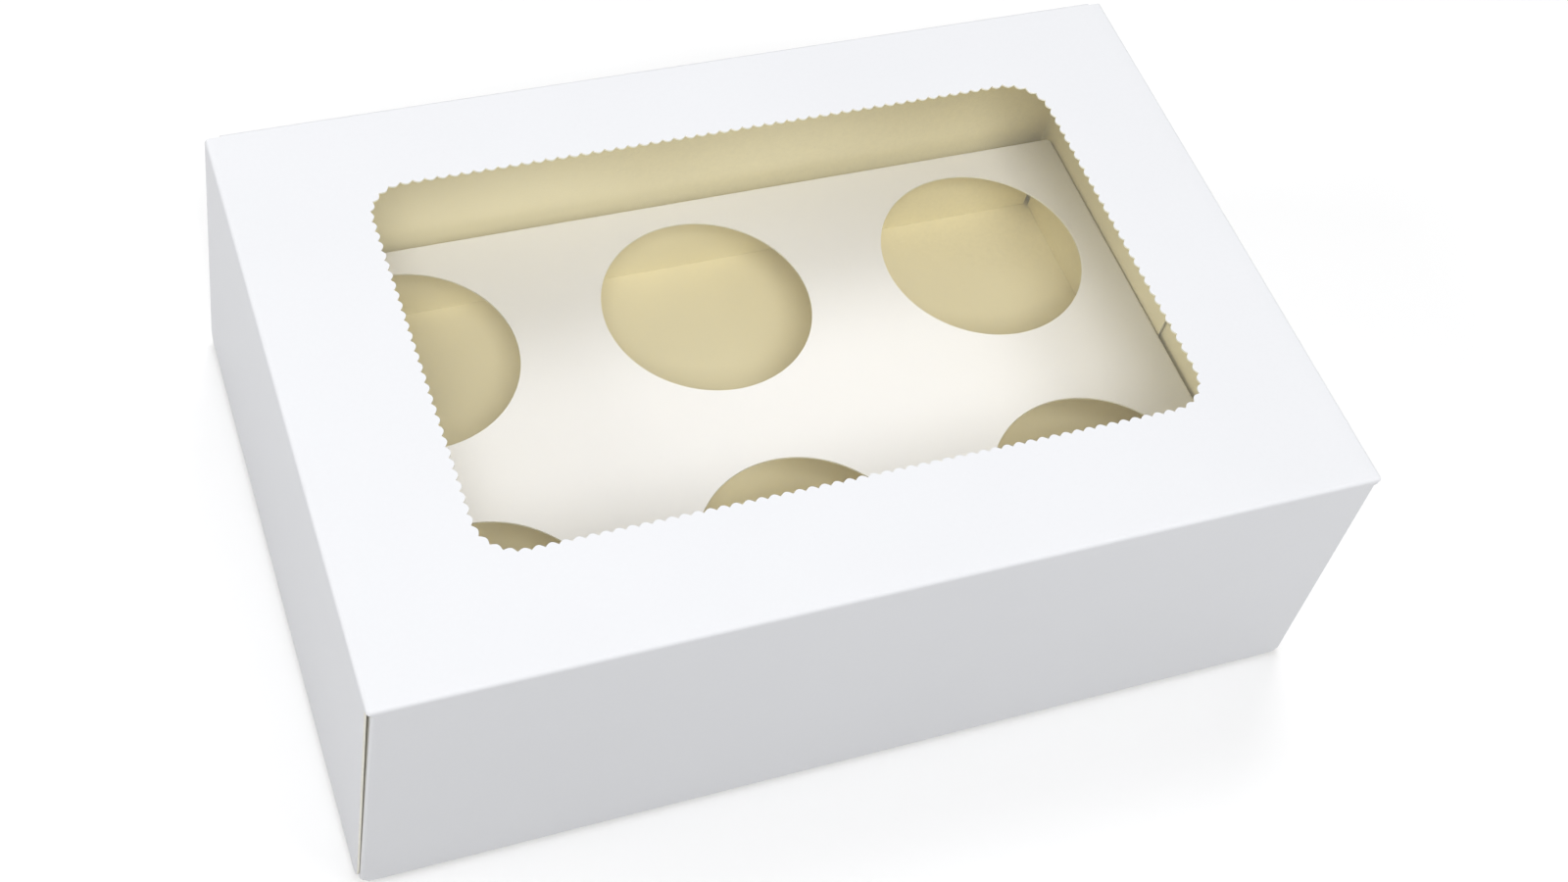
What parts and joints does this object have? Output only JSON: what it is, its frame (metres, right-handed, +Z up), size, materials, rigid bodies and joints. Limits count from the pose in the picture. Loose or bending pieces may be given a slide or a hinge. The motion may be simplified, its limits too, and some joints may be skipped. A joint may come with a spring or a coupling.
{
  "type": "cupcake box",
  "caption": "Folded white board box with a hinged lid, a scalloped clear window and a cream-lined tray holding a raised insert with round cup holes.",
  "frame": {"origin": "on the table, under the middle of the closed box's outside", "axes": "+X along the front to the right, +Y from the front towards the hinge, +Z up"},
  "size_m": [0.24, 0.16, 0.078],
  "materials": {
    "tray_board": "matte",
    "lid_board": "satin",
    "clear_film": "gloss",
    "insert_board": "matte"
  },
  "bodies": {
    "tray": {"tray": "tray_board", "insert": "insert_board"},
    "lid": {"lid": "lid_board", "window_film": "clear_film"}
  },
  "joints": [
    {"name": "lid_hinge", "type": "hinge", "parent": "tray", "child": "lid", "pos_m": [0, 0.08, 0.078], "axis": [-1, 0, 0], "range_deg": [0, 180]}
  ]
}
